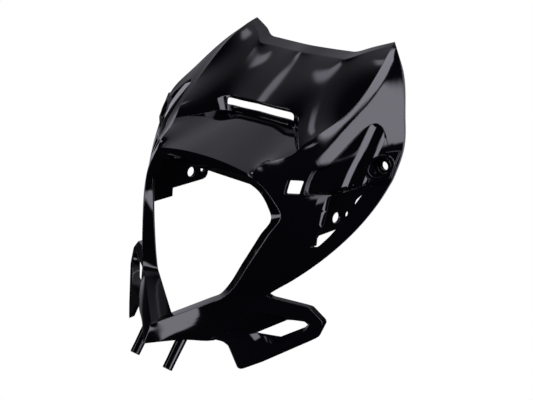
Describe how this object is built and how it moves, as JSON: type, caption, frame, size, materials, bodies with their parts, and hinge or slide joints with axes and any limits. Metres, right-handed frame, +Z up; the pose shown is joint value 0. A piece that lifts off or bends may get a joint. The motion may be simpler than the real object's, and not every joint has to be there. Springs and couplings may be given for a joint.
{
  "type": "headlight cowl",
  "caption": "Gloss black one piece moulded cowl that frames a motorbike's V shaped headlight, with a visor, side scoops, screw pads, inner tabs, chin wings and locating pegs.",
  "frame": {"origin": "midway between the seats of the two side screws", "axes": "+X across the bike towards its left side, +Y backward along the side screws and the mould's draw, +Z up"},
  "size_m": [0.331, 0.2555, 0.2983],
  "materials": {
    "gloss_black": "moulded gloss black, satin on the inner faces"
  },
  "bodies": {
    "root": {"cowl": "gloss_black"}
  },
  "joints": []
}
